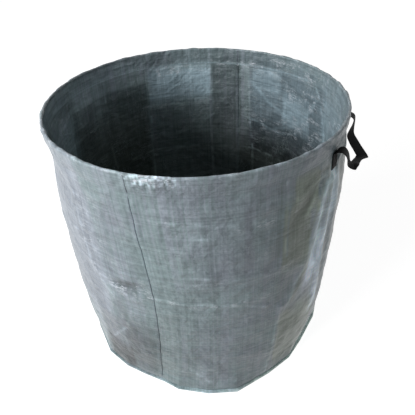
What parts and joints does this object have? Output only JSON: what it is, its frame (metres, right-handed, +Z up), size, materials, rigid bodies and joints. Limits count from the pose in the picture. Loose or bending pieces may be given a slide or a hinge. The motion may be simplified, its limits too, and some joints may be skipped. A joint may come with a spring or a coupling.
{
  "type": "pop up leaf bag",
  "caption": "Round open garden bag of laminated woven cloth, with a sprung hoop in its rim, a sewn-on base and webbing handles.",
  "frame": {"origin": "middle of the base's underside, on the axis of the rim", "axes": "+Z up, out of the bag's mouth; -Y the front as pictured; +X towards the handle that is seen at the right of the picture"},
  "size_m": [0.7191, 0.6863, 0.64],
  "materials": {
    "wall_cloth": "grey-green laminated woven polypropylene, slightly glossy",
    "base_cloth": "the same laminated cloth, its inner face up",
    "steel": "drawn spring wire and a crimped sleeve",
    "webbing": "black woven polypropylene webbing, matt",
    "grey_thread": "sewing thread",
    "black_thread": "sewing thread"
  },
  "bodies": {
    "base": {"base_panel": "base_cloth", "base_seam_thread": "grey_thread", "wall_panel_front": "wall_cloth", "wall_panel_back": "wall_cloth", "side_seam_thread_front": "grey_thread", "side_seam_thread_rear": "grey_thread"},
    "rim": {"rim_hoop": "steel", "hoop_ferrule": "steel", "rim_hem_front": "wall_cloth", "rim_hem_back": "wall_cloth", "hem_needle_thread": "grey_thread", "hem_bobbin_thread": "grey_thread", "right_handle_front_tab": "webbing", "right_handle_rear_tab": "webbing", "right_handle_front_stitching": "black_thread", "right_handle_rear_stitching": "black_thread", "left_handle_front_tab": "webbing", "left_handle_rear_tab": "webbing", "left_handle_front_stitching": "black_thread", "left_handle_rear_stitching": "black_thread"},
    "right_handle": {"right_handle_loop": "webbing"},
    "left_handle": {"left_handle_loop": "webbing"}
  },
  "joints": [
    {"name": "rim_collapse", "type": "slide", "parent": "base", "child": "rim", "axis": [0, 0, -1], "range_m": [0, 0.515], "stiffness_N_per_m": 30, "springref_m": -0.3, "deforming": ["wall_panel_front", "wall_panel_back", "side_seam_thread_front", "side_seam_thread_rear"]},
    {"name": "right_handle_swing", "type": "hinge", "parent": "rim", "child": "right_handle", "pos_m": [0.31562, -0.13074, 0.594], "axis": [-0.3827, -0.9239, 0], "range_deg": [0, 130]},
    {"name": "left_handle_swing", "type": "hinge", "parent": "rim", "child": "left_handle", "pos_m": [-0.31562, 0.13074, 0.594], "axis": [0.3827, 0.9239, 0], "range_deg": [0, 140]}
  ]
}
